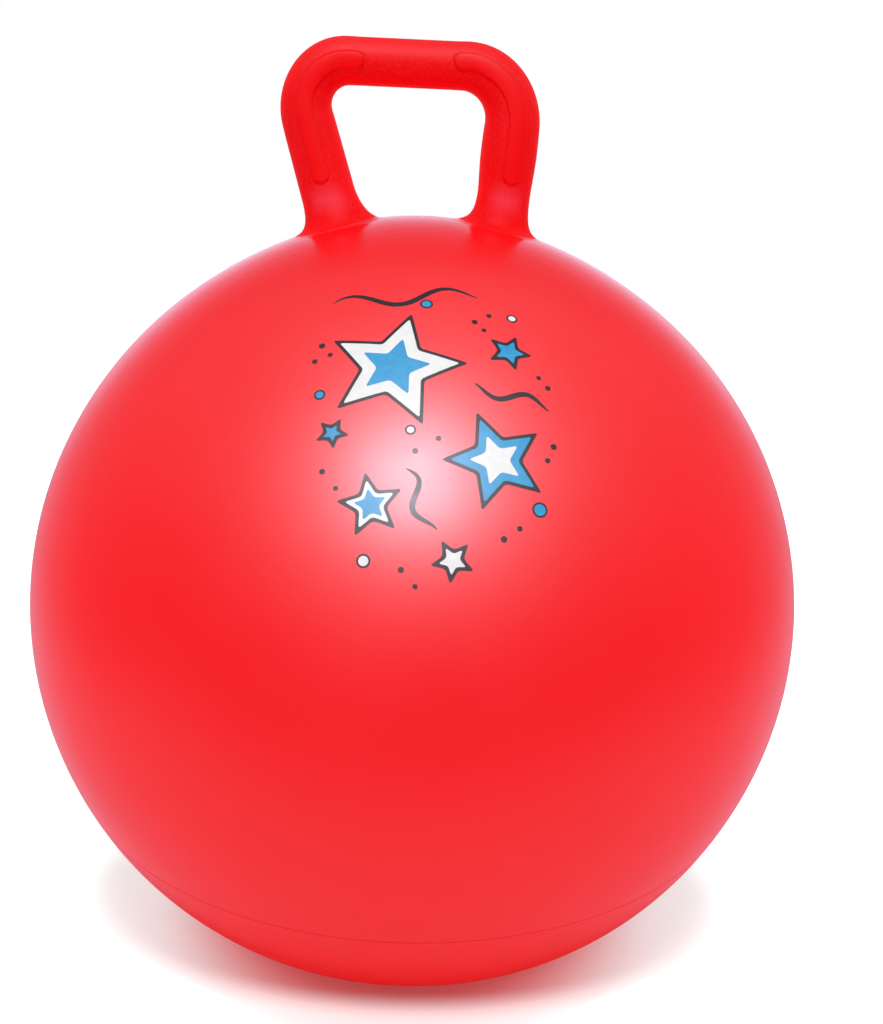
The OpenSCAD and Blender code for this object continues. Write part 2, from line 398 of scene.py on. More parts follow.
class SkinSide:
    """The outer or the inner side of the skin, with its two foot openings and its valve hole."""

    def __init__(self, mesh, segments, depth, flip):
        self.mesh = mesh
        self.segments = segments
        self.depth = depth
        self.flip = flip
        self.lons = 2 * math.pi * np.arange(segments) / segments
        self.lats = latitudes(2 * math.pi / segments)
        self.rows = [self.put(direction(lat, self.lons)) for lat in self.lats]

    def put(self, d):
        n = skin_normal(d)
        return self.mesh.add(skin(d, self.depth), -n if self.flip else n)

    def wind(self, faces):
        self.mesh.faces.extend(face[::-1] if self.flip else face for face in faces)

    def cap(self):
        """Closes the top round the two feet. Returns the feet's edge loops."""
        parts = [direction(self.lats[0], self.lons), LEFT_EDGE, RIGHT_EDGE, cap_directions(self.segments)]
        flat = cap_plane(np.concatenate(parts))
        starts = np.cumsum([0] + [len(part) for part in parts])
        loops = [np.arange(starts[i], starts[i + 1]) for i in range(3)]
        left, right = self.put(LEFT_EDGE), self.put(RIGHT_EDGE)
        ids = np.concatenate([self.rows[0], left, right, self.put(parts[3])])
        left_rim, right_rim = flat[loops[1]], flat[loops[2]]
        tris = triangulate(flat, loops, lambda m: ~inside(m, left_rim) & ~inside(m, right_rim))
        self.wind(ids[tris].tolist())
        return left, right

    def valve_gap(self):
        """First and last row, and first and last column, of the gap that is left for the valve."""
        reach = max(VALVE_PATCH, VALVE_PATCH_STEPS * 2 * math.pi / self.segments)
        across = round(reach / math.cos(VALVE_LAT) / self.lons[1])
        middle = self.segments // 2
        top = min(i for i, lat in enumerate(self.lats) if lat < VALVE_LAT + reach)
        low = max(i for i, lat in enumerate(self.lats) if lat > VALVE_LAT - reach)
        return top, low, middle - across, middle + across

    def rings(self):
        """Joins the rows by quads, apart from the valve's gap, and closes the bottom."""
        top, low, first, last = self.valve_gap()
        for i in range(len(self.rows) - 1):
            a, b = self.rows[i], self.rows[i + 1]
            for j in range(self.segments):
                if top <= i < low and first <= j < last:
                    continue
                k = (j + 1) % self.segments
                self.wind([[a[j], b[j], b[k], a[k]]])
        tip = self.put(np.array([[0, 0, -1.0]]))[0]
        self.mesh.fan(self.rows[-1], tip, not self.flip)

    def valve(self):
        """Fills the valve's gap round its hole. Returns the hole's edge loop."""
        top, low, first, last = self.valve_gap()
        border = [(top, c) for c in range(first, last)] + [(r, last) for r in range(top, low)]
        border += [(low, c) for c in range(last, first, -1)] + [(r, first) for r in range(low, top, -1)]
        lat, lon = np.array([(self.lats[r], self.lons[c]) for r, c in border]).T
        turn = 2 * math.pi * np.arange(VALVE_RIM_POINTS) / VALVE_RIM_POINTS
        axis = direction(VALVE_LAT, math.pi)
        east, north = np.array([-1.0, 0, 0]), direction(VALVE_LAT + math.pi / 2, math.pi)
        circle = np.cos(turn)[:, None] * east + np.sin(turn)[:, None] * north
        hole = []
        for share, stride in VALVE_RINGS:
            angle = share * math.asin(VALVE_HOLE_R / BALL_R)
            hole.append(math.cos(angle) * axis + math.sin(angle) * circle[::stride])
        flat = np.concatenate([direction(lat, lon)] + hole) @ np.stack([east, north], 1)
        count = len(border)
        loops = [np.arange(count), np.arange(count, count + VALVE_RIM_POINTS)]
        edge = self.put(hole[0])
        ids = np.concatenate([[self.rows[r][c] for r, c in border], edge, self.put(np.concatenate(hole[1:]))])
        outline, rim = flat[loops[0]], flat[loops[1]]
        tris = triangulate(flat, loops, lambda m: inside(m, outline) & ~inside(m, rim))
        self.wind(ids[tris].tolist())
        return edge


def build_side(mesh, segments, depth, flip):
    """Adds one side of the skin to the mesh. Returns its three edge loops."""
    side = SkinSide(mesh, segments, depth, flip)
    left, right = side.cap()
    side.rings()
    return left, right, side.valve()


def build_ball():
    mesh = MeshBuilder()
    outer = build_side(mesh, BALL_SEGMENTS, 0.0, False)
    inner = build_side(mesh, INNER_SEGMENTS, SKIN_T, True)
    for outer_edge, inner_edge, flip in zip(outer, inner, (False, True, False)):
        mesh.quads(outer_edge, inner_edge, flip)
    return mesh.build("ball")


# Handle

PAD_EDGE = 0.9 * MM
# The fine moulded line round a pad: depth, place outside the pad's outline, and width
PAD_LINE = 0.3 * MM
PAD_LINE_AT = 0.45 * PAD_EDGE
PAD_LINE_W = 0.5 * PAD_EDGE
# A flare's curve starts this far up the leg, with these arms at its top and at its edge on the ball
FLARE_UP = 7 * MM
LEFT_ARMS_INSIDE, RIGHT_ARMS_INSIDE = (9 * MM, 8 * MM), (12 * MM, 12 * MM)
ARMS_OUTSIDE = (17 * MM, 9 * MM)
ARMS_FADE = 1.5
EDGE_STEP = 0.002
# The bare tube's radii in mm: left foot, ankle and corner's start, bar's ends, right corner, leg, ankle, foot
TUBE_RADII = (14.8, 14.5, 13.8, 11.3, 11.3, 14.6, 15.0, 14.1, 13.9)
TUBE_BLEND = 6 * MM


def tube_radius(at):
    """Radius of the bare tube along the loop: slim on the bar, and fuller down each leg."""
    left_ankle, left_corner, right_corner, right_ankle = BEND_MARKS
    right_leg = (right_corner[1] + right_ankle[0]) / 2
    stations = (0, left_ankle[1], *left_corner, *right_corner, right_leg, right_ankle[0], at[-1])
    near = np.exp(-((at[:, None] - at[None]) / TUBE_BLEND) ** 2)
    sharp = np.interp(at, stations, np.array(TUBE_RADII) * MM)
    return near @ sharp / near.sum(1)


def pad_distance(at, phi):
    """Signed distance on the tube to the nearest pad's outline, negative on a pad."""
    left_ankle, left_corner, right_corner, right_ankle = BEND_MARKS
    spans = [
        (left_ankle[1] + LEFT_PAD_LEG_GAP, left_corner[1] + LEFT_PAD_BAR_LEN, LEFT_PAD_MIDDLES),
        (right_corner[0] - RIGHT_PAD_BAR_LEN, right_ankle[0] - RIGHT_PAD_LEG_GAP, RIGHT_PAD_MIDDLES),
    ]
    best = np.full(np.broadcast(at, phi).shape, 1.0)
    for start, end, middles in spans:
        past = np.maximum(np.maximum(start + PAD_W / 2 - at, at - end + PAD_W / 2), 0)
        for middle in middles:
            side = np.abs((phi - middle + math.pi) % (2 * math.pi) - math.pi) * TUBE_R
            best = np.minimum(best, np.hypot(past, side) - PAD_W / 2)
    return best


def pad_share(off):
    """1 on a pad and 0 off it, with a soft edge."""
    return 1 - smoothstep(off, -PAD_EDGE / 2, PAD_EDGE / 2)


def tube_rings():
    """The loop's rings between the flares, how much of a pad each point carries, and the rings' tangents."""
    radius = tube_radius(LINE_AT)
    kept = (LINE_AT > FLARE_UP) & (LINE_AT < LINE_AT[-1] - FLARE_UP)
    rings, pads = [], []
    for p, way, at, r in zip(LINE[kept], LINE_WAY[kept], LINE_AT[kept], radius[kept]):
        n, b = ring_axes(way)
        off = pad_distance(at, PHI)
        pad = pad_share(off)
        line = PAD_LINE * np.exp(-((off - PAD_LINE_AT) / PAD_LINE_W) ** 2)
        high = r + (PAD_H * pad - line)
        rings.append(p + high[:, None] * (np.cos(PHI)[:, None] * n + np.sin(PHI)[:, None] * b))
        pads.append(pad)
    return rings, pads, LINE_WAY[kept]


def flare(edge, ring, way_down, arms_inside):
    """Rings from a leg's last ring to its edge on the ball: smooth curves that run level into both."""
    out = unit(edge.sum(0))
    inward = unit(edge - EDGE_STEP * unit(edge - (edge @ out)[:, None] * out))
    p1, p0 = skin(edge), ring
    t1 = unit(skin(inward) - p1)
    weight = ((1 + np.cos(PHI)) / 2)[:, None] ** ARMS_FADE
    top, low = (inner + (outer - inner) * weight for inner, outer in zip(arms_inside, ARMS_OUTSIDE))
    q0, q1 = p0 + top * way_down, p1 + low * t1
    rings = []
    for k in range(1, FLARE_RINGS + 1):
        t = k / FLARE_RINGS
        rings.append((1 - t) ** 3 * p0 + 3 * t * (1 - t) ** 2 * q0 + 3 * t * t * (1 - t) * q1 + t ** 3 * p1)
    return rings


def handle_normals(grid):
    """Normals of the handle's rings, level with the skin at both edges."""
    along = np.gradient(grid, axis=0)
    around = np.roll(grid, -1, 1) - np.roll(grid, 1, 1)
    normals = unit(np.cross(around, along))
    normals[0], normals[-1] = skin_normal(LEFT_EDGE), skin_normal(RIGHT_EDGE)
    middle = grid.mean(1, keepdims=True)
    normals[1:-1] *= np.sign(np.median(np.sum(normals * (grid - middle), 2)[1:-1]))
    return normals


def handle_inside(grid, normals, pad):
    """Rings of the handle's inner side, fewer than outside, and the numbers of the outer rings over them."""
    wall = np.full(len(grid), TUBE_T)
    wall[:FLARE_RINGS] = np.linspace(SKIN_T, TUBE_T, FLARE_RINGS)
    wall[-FLARE_RINGS:] = np.linspace(TUBE_T, SKIN_T, FLARE_RINGS)
    picked = sorted({*range(0, len(grid), INNER_STRIDE), len(grid) - 1})
    rings = [grid[i] - (PAD_H * pad[i] + wall[i])[:, None] * normals[i] for i in picked]
    rings[0], rings[-1] = skin(LEFT_EDGE, SKIN_T), skin(RIGHT_EDGE, SKIN_T)
    return rings, picked


def store(piece, name, values):
    """Keeps a value for each of the piece's first points, and 0 for the others, for its material."""
    full = np.zeros(len(piece.data.vertices), np.float32)
    full[:len(values)] = values
    piece.data.attributes.new(name, "FLOAT", "POINT").data.foreach_set("value", full)


def build_handle():
    rings, pads, ways = tube_rings()
    left = flare(LEFT_EDGE, rings[0], -ways[0], LEFT_ARMS_INSIDE)
    right = flare(RIGHT_EDGE, rings[-1], ways[-1], RIGHT_ARMS_INSIDE)
    grid = np.array(left[::-1] + rings + right)
    none = np.zeros((FLARE_RINGS, HANDLE_SEGMENTS))
    pad = np.concatenate([none, pads, none])
    normals = handle_normals(grid)

    mesh = MeshBuilder()
    outer = [mesh.add(ring, n) for ring, n in zip(grid, normals)]
    inner_rings, picked = handle_inside(grid, normals, pad)
    inner = [mesh.add(ring, -normals[i]) for ring, i in zip(inner_rings, picked)]
    for a, b in zip(outer[:-1], outer[1:]):
        mesh.quads(a, b)
    for a, b in zip(inner[:-1], inner[1:]):
        mesh.quads(a, b, flip=True)
    mesh.quads(inner[0], outer[0])
    mesh.quads(outer[-1], inner[-1])
    piece = mesh.build("handle_loop")

    down = np.linspace(1, 0, FLARE_RINGS)
    foot = np.concatenate([down, np.zeros(len(rings)), down[::-1]])
    store(piece, "pad", pad.ravel())
    store(piece, "foot", np.repeat(foot, HANDLE_SEGMENTS))
    return piece


# Print: a loose scatter of stars, streamers and dots, in thin layers of ink

PRINT_LAT, PRINT_LON = 43.5 * DEG, 2.5 * DEG
PRINT_UP = direction(PRINT_LAT + math.pi / 2, PRINT_LON)
PRINT_MIDDLE = direction(PRINT_LAT, PRINT_LON)
PRINT_EAST = np.cross(PRINT_UP, PRINT_MIDDLE)
INK_UNDER = 0.12 * MM
INK_H = 0.05 * MM
INK_STEP = 0.03 * MM
# Points of a patch of ink: steps along its rim and between, and room kept between the two
INK_RIM_STEP = 2 * MM
INK_GRID_STEP = 4 * MM
INK_RIM_CLEAR = 1.2 * MM
STAR_POINTS = 5
STAR_WAIST = 0.47
CORE_SHARE = 0.5
# How far a corner is rounded, at most and as a share of the star's size or of the next edge
CORNER_SOFT = 1.6 * MM
CORNER_SHARE = 0.2
EDGE_SHARE = 0.4
CORNER_STEPS = 5
DOT_POINTS, SMALL_DOT_POINTS = 36, 20
STREAMER_STEPS = 64
STREAMER_TIP = 0.12
STREAMER_FULLNESS = 0.7


def print_direction(flat):
    """Directions on the ball of points of the print's flat layout, which keeps distances from its middle."""
    far = np.hypot(flat[:, 0], flat[:, 1])
    turn = far / BALL_R
    side = (flat[:, :1] * PRINT_EAST + flat[:, 1:] * PRINT_UP) / np.maximum(far, TINY)[:, None]
    return np.cos(turn)[:, None] * PRINT_MIDDLE + np.sin(turn)[:, None] * side


def rounded(points, radius):
    """Closed outline with its corners cut back and rounded."""
    out = []
    n = len(points)
    for i in range(n):
        before, at, after = points[i - 1], points[i], points[(i + 1) % n]
        back = min(radius, EDGE_SHARE * np.linalg.norm(before - at))
        on = min(radius, EDGE_SHARE * np.linalg.norm(after - at))
        a, c = at + back * unit(before - at), at + on * unit(after - at)
        for t in np.linspace(0, 1, CORNER_STEPS):
            out.append((1 - t) ** 2 * a + 2 * t * (1 - t) * at + t * t * c)
    return np.array(out)


def star(middle, size, turn):
    corner = np.arange(2 * STAR_POINTS)
    angles = turn * DEG + math.pi / 2 + math.pi * corner / STAR_POINTS
    reach = np.where(corner % 2 == 0, size, STAR_WAIST * size)
    corners = np.stack([np.cos(angles), np.sin(angles)], 1) * reach[:, None]
    return rounded(corners, min(CORNER_SOFT, CORNER_SHARE * size)) + middle


def dot(middle, size, count=DOT_POINTS):
    turn = 2 * math.pi * np.arange(count) / count
    return np.stack([np.cos(turn), np.sin(turn)], 1) * size + middle


def streamer(start, end, width, wave_h, turns, phase):
    """Outline of a wavy ribbon that tapers to both ends."""
    t = np.linspace(0, 1, STREAMER_STEPS)[:, None]
    way = end - start
    across = np.array([-way[1], way[0]]) / np.linalg.norm(way)
    line = start + t * way + wave_h * np.sin(2 * math.pi * turns * t + phase) * across
    slope = np.gradient(line, axis=0)
    normal = unit(np.stack([-slope[:, 1], slope[:, 0]], 1))
    full = np.sin(math.pi * t) ** STREAMER_FULLNESS
    half = (STREAMER_TIP + (1 - STREAMER_TIP) * full) * width / 2
    return np.concatenate([line + half * normal, (line - half * normal)[::-1]])


def refine(loop, step):
    """Outline with points no further apart than a step."""
    out = []
    for a, b in zip(loop, np.roll(loop, -1, 0)):
        n = max(1, math.ceil(np.linalg.norm(b - a) / step))
        out.extend(a + (b - a) * k / n for k in range(n))
    return np.array(out)


def within(points, outline, holes):
    """Which 2D points lie inside an outline and outside its holes."""
    result = inside(points, outline)
    for hole in holes:
        result &= ~inside(points, hole)
    return result


def turns_left(loop):
    """Whether a closed 2D loop runs anticlockwise."""
    after = np.roll(loop, -1, 0)
    return bool(np.sum(loop[:, 0] * after[:, 1] - loop[:, 1] * after[:, 0]) > 0)


def ink(mesh, outline, holes, height):
    """Adds one closed, thin patch of ink that follows the skin."""
    rims = [refine(loop, INK_RIM_STEP) for loop in [outline] + holes]
    border = np.concatenate(rims)
    low, high = rims[0].min(0), rims[0].max(0)
    xs, ys = np.meshgrid(*(np.arange(low[i], high[i], INK_GRID_STEP) for i in range(2)))
    grid = np.stack([xs.ravel(), ys.ravel()], 1)
    clear = np.min(np.linalg.norm(grid[:, None] - border[None], axis=2), 1) > INK_RIM_CLEAR
    grid = grid[clear & within(grid, rims[0], rims[1:])]
    flat = np.concatenate([border, grid])
    starts = np.cumsum([0] + [len(rim) for rim in rims])
    loops = [np.arange(starts[i], starts[i + 1]) for i in range(len(rims))]
    tris = triangulate(flat, loops, lambda m: within(m, rims[0], rims[1:]))
    d = print_direction(flat)
    p, n = skin(d), skin_normal(d)
    top = mesh.add(p + height * n, n)
    under = mesh.add(p - INK_UNDER * n, n)
    mesh.faces.extend(top[tris].tolist())
    mesh.faces.extend(under[tris][:, ::-1].tolist())
    for i, loop in enumerate(loops):
        mesh.quads(top[loop], under[loop], flip=turns_left(rims[i]) == (i == 0))


def mm(x, y):
    return np.array([x, y]) * MM


# Each star: middle, size, turn in degrees, fill, core
STARS = [
    (mm(-17, 29), 33 * MM, -14, "white", "blue"),
    (mm(27, -17), 24 * MM, 20, "blue", "white"),
    (mm(-27, -38), 15 * MM, 9, "white", "blue"),
    (mm(35, 40), 11 * MM, -22, "blue", None),
    (mm(8, -62), 10 * MM, 30, "white", None),
    (mm(-44, -4), 8 * MM, -30, "blue", None),
]
OUTLINE_W, DOT_OUTLINE_W = 1.5 * MM, 0.8 * MM
# Each streamer: start, end, width, height of its waves, turns, phase
STREAMERS = [
    (mm(-46, 70), mm(22, 76), 3.0 * MM, 5 * MM, 1.5, 0.4),
    (mm(-12, -22), mm(-2, -50), 2.6 * MM, 3.5 * MM, 1.2, 0.0),
    (mm(18, 18), mm(52, 12), 2.6 * MM, 3.0 * MM, 1.3, 2.2),
]
# Each dot: middle and radius, in millimetres
BLACK_DOTS = [
    (-50, 44, 1.5), (-46, 38, 1.2), (-53, 35, 1.3), (20, 57, 1.4), (27, 62, 1.2), (24, 52, 1.1),
    (52, 22, 1.3), (48, 27, 1.1), (53, -8, 1.4), (50, -15, 1.2), (-8, -14, 1.3), (2, -8, 1.2),
    (-48, -22, 1.3), (-42, -30, 1.1), (30, -52, 1.4), (37, -47, 1.2), (-14, -66, 1.3), (-8, -73, 1.1),
]
BLUE_DOTS = [(-2, 68, 3.0), (46, -38, 3.4), (-50, 16, 2.6)]
WHITE_DOTS = [(38, 62, 2.6), (-10, -4, 2.4), (-30, -62, 3.0)]
# Layers of ink, from the skin up
FILL, CORE, LINEWORK = 0, 1, 2


def build_print():
    """Three pieces of ink, one for each colour. Outlines lie over cores, and cores over fills."""
    layers = {"white": MeshBuilder(), "blue": MeshBuilder(), "black": MeshBuilder()}

    def put(name, outline, level, holes=()):
        ink(layers[name], outline, list(holes), INK_H + level * INK_STEP)

    def outlined(name, shape, size, width):
        """A fill and its black outline; width is the share of the size that the outline takes."""
        put(name, shape(size * (1 - width / 2)), FILL)
        put("black", shape(size), LINEWORK, [shape(size * (1 - width))])

    across = STAR_WAIST * math.sin(math.pi / STAR_POINTS)
    edge = across / math.hypot(1 - STAR_WAIST * math.cos(math.pi / STAR_POINTS), across)
    for middle, size, turn, fill, core in STARS:
        outlined(fill, lambda r: star(middle, r, turn), size, OUTLINE_W / (edge * size))
        if core:
            put(core, star(middle, CORE_SHARE * size, turn), CORE)
    for ribbon in STREAMERS:
        put("black", streamer(*ribbon), LINEWORK)
    for x, y, size in BLACK_DOTS:
        put("black", dot(mm(x, y), size * MM, SMALL_DOT_POINTS), LINEWORK)
    for name, dots in (("blue", BLUE_DOTS), ("white", WHITE_DOTS)):
        for x, y, size in dots:
            outlined(name, lambda r: dot(mm(x, y), r), size * MM, DOT_OUTLINE_W / (size * MM))
    return {name: mesh.build("print_" + name) for name, mesh in layers.items()}


ball = build_ball()
handle = build_handle()
prints = build_print()


# Materials

# The part of a noise texture's range that it mostly stays in
NOISE_RANGE = (0.3, 0.7)


def feed(tree, node, inputs):
    """Sets a node's inputs, each to a value or to another node's output."""
    for key, value in inputs.items():
        if isinstance(value, bpy.types.NodeSocket):
            tree.links.new(value, node.inputs[key])
        else:
            node.inputs[key].default_value = value


def add(tree, kind, inputs=None, **settings):
    """A shader node with its settings and inputs."""
    node = tree.nodes.new("ShaderNode" + kind)
    for key, value in settings.items():
        setattr(node, key, value)
    feed(tree, node, inputs or {})
    return node


def new_material(name):
    """A material, its node tree, its shader and the piece's own coordinates."""
    material = bpy.data.materials.new(name)
    material.use_nodes = True
    tree = material.node_tree
    return material, tree, tree.nodes["Principled BSDF"], add(tree, "TexCoord").outputs["Object"]


def noise(tree, where, scale, detail=2.0, rough=0.5):
    settings = {"Vector": where, "Scale": scale, "Detail": detail, "Roughness": rough}
    return add(tree, "TexNoise", settings).outputs[0]


def span(tree, value, low, high, to_low=0.0, to_high=1.0, kind="LINEAR"):
    """Maps low to to_low and high to to_high, and stays between these two."""
    settings = {"Value": value, "From Min": low, "From Max": high, "To Min": to_low, "To Max": to_high}
    return add(tree, "MapRange", settings, interpolation_type=kind).outputs[0]


def ease(tree, value, low, high, to_low=0.0, to_high=1.0):
    """Like span, with a soft start and end."""
    return span(tree, value, low, high, to_low, to_high, "SMOOTHSTEP")


def mottle(tree, where, scale, detail, to=(0.0, 1.0)):
    """Noise that is stretched to a range."""
    return span(tree, noise(tree, where, scale, detail), *NOISE_RANGE, *to)


def math_node(tree, operation, a, b=0.0, c=0.0):
    return add(tree, "Math", {0: a, 1: b, 2: c}, operation=operation).outputs[0]


def times(tree, a, b):
    return math_node(tree, "MULTIPLY", a, b)


def vector_length(tree, vector):
    return add(tree, "VectorMath", {0: vector}, operation="LENGTH").outputs["Value"]


def blend(tree, share, a, b):
    return add(tree, "Mix", {0: share, 2: a, 3: b}).outputs[0]


def blend_colour(tree, share, a, b):
    return add(tree, "Mix", {0: share, 6: a, 7: b}, data_type="RGBA").outputs[2]


def bump(tree, height, distance, strength, normal=None):
    inputs = {"Height": height, "Distance": distance, "Strength": strength}
    if normal is not None:
        inputs["Normal"] = normal
    return add(tree, "Bump", inputs).outputs[0]


def set_looks(tree, shader, tone, rough, sheen, normal):
    looks = {"Base Color": tone, "Roughness": rough, "Specular IOR Level": sheen, "Normal": normal}
    feed(tree, shader, looks)


def colour(r, g, b):
    return (r, g, b, 1.0)


VINYL = colour(0.98, 0.0038, 0.0072)
VINYL_DEEP = colour(0.95, 0.0030, 0.0055)
VINYL_PALE = colour(0.97, 0.030, 0.042)
VINYL_ROUGH = (0.44, 0.49)
VINYL_SHEEN = 0.4
# Towards grazing views the vinyl is smoother: share of its roughness from the sides to the top, by height
GRAZING = (0.5, 0.85)
SMOOTHED, SMOOTHED_Z = (0.64, 0.28), (0.34, 0.42)
# Scuffs: drawn-out strokes inside a few patches
SCUFF_TURN, SCUFF_SCALE = (0.5, 0.3, 0.9), (160.0, 160.0, 9.0)
STROKE = (0.66, 0.76)
PATCH_SCALE, PATCH = 5.0, (0.55, 0.7)
SCUFF_PALE, SCUFF_ROUGH = 0.35, 0.15
# Creases that run down from the top: by angle, by distance from the axis, and between which heights
CREASE_TURNS, CREASE_LENGTHS, CREASE_SCALE = 7.0, 14.0, 2.2
CREASE_Z = (0.40, 0.425)
CREASE_H, CREASE_STRENGTH = 0.4 * MM, 0.25
# Relief of the skin: slow waves and a fine peel, which show through the ink too
WAVE_SCALE, WAVE_H = 10.0, 0.9 * MM
PEEL_SCALE, PEEL_H = 900.0, 0.02 * MM
RELIEF_STRENGTH = 0.5


def scuffs(tree, where):
    drawn = add(tree, "Mapping", {0: where, 2: SCUFF_TURN, 3: SCUFF_SCALE}).outputs[0]
    stroke = span(tree, noise(tree, drawn, scale=1.0), *STROKE)
    patch = span(tree, noise(tree, where, PATCH_SCALE, detail=1.0), *PATCH)
    return times(tree, stroke, patch)


def creases(tree, axes):
    turn = math_node(tree, "ARCTAN2", axes["X"], axes["Y"])
    flat = add(tree, "CombineXYZ", {0: axes["X"], 1: axes["Y"]}).outputs[0]
    turn = times(tree, turn, CREASE_TURNS)
    far = times(tree, vector_length(tree, flat), CREASE_LENGTHS)
    spokes = add(tree, "CombineXYZ", {0: turn, 1: far}).outputs[0]
    high = span(tree, axes["Z"], *CREASE_Z)
    return times(tree, noise(tree, spokes, CREASE_SCALE), high)


def waves(tree, where):
    return bump(tree, noise(tree, where, WAVE_SCALE, detail=1.0), WAVE_H, RELIEF_STRENGTH)


def peel(tree, where, normal):
    return bump(tree, noise(tree, where, PEEL_SCALE), PEEL_H, RELIEF_STRENGTH, normal)


def vinyl_material():
    """Satin-glossy red vinyl: slow waves, a fine peel, drawn creases round the top and faint scuffs."""
    material, tree, shader, where = new_material("ball_vinyl")
    axes = add(tree, "SeparateXYZ", {0: where}).outputs
    scuff = scuffs(tree, where)
    red = blend_colour(tree, mottle(tree, where, scale=7.0, detail=4.0), VINYL_DEEP, VINYL)
    red = blend_colour(tree, times(tree, scuff, SCUFF_PALE), red, VINYL_PALE)

    rough = mottle(tree, where, scale=16.0, detail=3.0, to=VINYL_ROUGH)
    rough = math_node(tree, "MULTIPLY_ADD", scuff, SCUFF_ROUGH, rough)
    grazing = add(tree, "LayerWeight", {"Blend": 0.5}).outputs["Facing"]
    smooth = span(tree, axes["Z"], *SMOOTHED_Z, *SMOOTHED)
    sheer = span(tree, grazing, *GRAZING, 1.0, smooth)
    rough = times(tree, rough, sheer)

    normal = bump(tree, creases(tree, axes), CREASE_H, CREASE_STRENGTH, waves(tree, where))
    normal = peel(tree, where, normal)
    set_looks(tree, shader, red, rough, VINYL_SHEEN, normal)
    return material


MATTE = colour(0.98, 0.0016, 0.0036)
MATTE_DEEP = colour(0.95, 0.0012, 0.0026)
# Pale tone of the grain's specks, and of the painted highlight on each leg
MATTE_SPECKS_AND_HIGHLIGHT = colour(0.97, 0.060, 0.110)
# Heights above the ball of each leg's painted highlight, a paler patch, and how far to the front or back it
# starts and is full
HIGHLIGHT_LOW, HIGHLIGHT_MIDDLE, HIGHLIGHT_HIGH = 9 * MM, 17 * MM, 26 * MM
HIGHLIGHT_Y = (0.75 * TUBE_R, 1.05 * TUBE_R)
# How much of the pale tone shows in the painted highlight and in the grain's specks
HIGHLIGHT_SHARE, GRAIN_SHARE = 0.6, 0.25
SPECKS = (0.5, 0.72)
MATTE_ROUGH, GRAIN_ROUGH = 0.55, 0.08
# Sheen of the legs and of the flares, which are dullest from this share of their length down
MATTE_SHEEN, FLARE_SHEEN, FLARE_DULL_FROM = 0.12, 0.04, 0.5
GRAIN_SCALE, GRAIN_H, GRAIN_STRENGTH = 850.0, 0.22 * MM, 0.6
PAD_GRAIN = 0.3
DENT_SCALE, DENT_H, DENT_STRENGTH = 26.0, 0.6 * MM, 0.4


def painted_highlight_patch(tree, where):
    """1 in the middle of the painted highlight at the front and back of each leg, and 0 away from it."""
    far = add(tree, "VectorMath", {0: where, 1: CENTRE.tolist()}, operation="DISTANCE").outputs["Value"]
    above = span(tree, far, BALL_R + HIGHLIGHT_LOW, BALL_R + HIGHLIGHT_MIDDLE)
    below = span(tree, far, BALL_R + HIGHLIGHT_HIGH, BALL_R + HIGHLIGHT_MIDDLE)
    depth = math_node(tree, "ABSOLUTE", add(tree, "SeparateXYZ", {0: where}).outputs["Y"])
    outer = span(tree, depth, *HIGHLIGHT_Y)
    return times(tree, times(tree, above, below), outer)


def handle_material():
    """Matte, finely grained red vinyl, with smoother pads, a painted highlight low on each leg and dull flares.
    """
    material, tree, shader, where = new_material("handle_vinyl")
    pad = add(tree, "Attribute", attribute_name="pad").outputs["Fac"]
    foot = add(tree, "Attribute", attribute_name="foot").outputs["Fac"]
    bare = math_node(tree, "SUBTRACT", 1.0, pad)
    grain = noise(tree, where, GRAIN_SCALE, detail=3.0, rough=0.6)

    red = blend_colour(tree, mottle(tree, where, scale=14.0, detail=3.0), MATTE_DEEP, MATTE)
    specks = span(tree, grain, *SPECKS, 0.0, GRAIN_SHARE)
    # Pale specks of the grain, and a painted highlight on the front and back of each leg
    specks_and_highlight = math_node(tree, "MULTIPLY_ADD", painted_highlight_patch(tree, where), HIGHLIGHT_SHARE, specks)
    red = blend_colour(tree, times(tree, bare, specks_and_highlight), red, MATTE_SPECKS_AND_HIGHLIGHT)

    rough = span(tree, grain, *NOISE_RANGE, 0.0, GRAIN_ROUGH)
    rough = math_node(tree, "MULTIPLY_ADD", bare, rough, MATTE_ROUGH)
    sheen = span(tree, foot, 0.0, FLARE_DULL_FROM, MATTE_SHEEN, FLARE_SHEEN)

    share = math_node(tree, "MULTIPLY_ADD", bare, 1 - PAD_GRAIN, PAD_GRAIN)
    height = times(tree, grain, share)
    normal = bump(tree, noise(tree, where, DENT_SCALE, detail=1.0), DENT_H, DENT_STRENGTH)
    normal = bump(tree, height, GRAIN_H, GRAIN_STRENGTH, normal)
    set_looks(tree, shader, red, rough, sheen, normal)
    return material


INK_ROUGH = (0.43, 0.51)
INK_SHEEN = 0.22
# For each ink, its darkest and its lightest tone
INKS = {
    "white": (colour(0.80, 0.80, 0.80), colour(0.88, 0.88, 0.87)),
    "blue": (colour(0.010, 0.30, 0.62), colour(0.016, 0.36, 0.70)),
    "black": (colour(0.016, 0.015, 0.018), colour(0.026, 0.024, 0.028)),
}


def ink_material(name):
    """Printed ink: a slight mottle, and the skin's relief showing through."""
    material, tree, shader, where = new_material("ink_" + name)
    tone = blend_colour(tree, mottle(tree, where, scale=260.0, detail=3.0), *INKS[name])
    rough = mottle(tree, where, scale=60.0, detail=2.0, to=INK_ROUGH)
    normal = peel(tree, where, waves(tree, where))
    set_looks(tree, shader, tone, rough, INK_SHEEN, normal)
    return material


SLEEVE_ROUGH, PLUG_ROUGH = 0.38, 0.42
PLUG_DARK, PLUG_LIGHT = colour(0.80, 0.80, 0.78), colour(0.86, 0.86, 0.85)
MOULDED_ROUGH_SPREAD = 0.05
MOULDED_SCALE, MOULDED_H = 1500.0, 0.04 * MM


